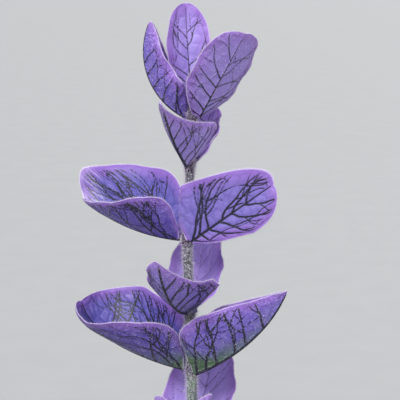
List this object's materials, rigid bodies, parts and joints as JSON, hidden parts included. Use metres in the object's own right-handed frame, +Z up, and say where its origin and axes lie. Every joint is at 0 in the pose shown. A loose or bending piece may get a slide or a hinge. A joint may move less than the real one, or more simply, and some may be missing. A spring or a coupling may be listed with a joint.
{
  "type": "potted painted sage",
  "caption": "Painted sage growing in a plain clay pot: a hairy square stem with crossed pairs of leaves, small lipped flowers and a top of veined violet bracts.",
  "frame": {"origin": "centre of the pot's foot, on the surface that the pot stands on", "axes": "+Z up along the stem, the view of the picture looks along +Y so the front is -Y, and +X is to the right in the picture"},
  "size_m": [0.13, 0.13, 0.3922],
  "materials": {
    "terracotta": "plain unglazed terracotta, matt",
    "soil": "moist dark potting compost, crumbly and matt",
    "stem": "green square stem, purple towards the top and at the nodes, dense short white hairs",
    "violet": "papery violet-blue bract with dark veins and a pale lilac margin",
    "floral": "green bract flushed with purple, with a hairy margin",
    "leaf": "wrinkled green leaf with short hairs"
  },
  "bodies": {
    "root": {"pot": "terracotta", "soil": "soil", "main_stem": "stem", "bract_top_back": "violet", "bract_top_front": "violet", "bract_1_left": "violet", "bract_1_right": "violet", "bract_2_front": "violet", "bract_2_back": "violet", "bract_3_left": "violet", "bract_3_right": "violet", "bract_4_front": "violet", "bract_4_back": "violet", "bract_5_left": "violet", "bract_5_right": "violet", "bract_6_front": "violet", "bract_6_back": "violet", "floral_bract_7_left": "floral", "floral_bract_7_right": "floral", "floral_bract_8_front": "floral", "floral_bract_8_back": "floral", "floral_bract_9_left": "floral", "floral_bract_9_right": "floral", "leaf_10_front": "leaf", "leaf_10_back": "leaf", "leaf_11_left": "leaf", "leaf_11_right": "leaf", "leaf_12_front": "leaf", "leaf_12_back": "leaf", "leaf_13_left": "leaf", "leaf_13_right": "leaf", "shoot_left_stem": "leaf", "shoot_left_head": "violet", "shoot_right_stem": "leaf", "shoot_right_head": "violet", "shoot_front_stem": "leaf", "shoot_front_head": "violet", "shoot_back_stem": "leaf", "shoot_back_head": "violet"}
  },
  "joints": []
}
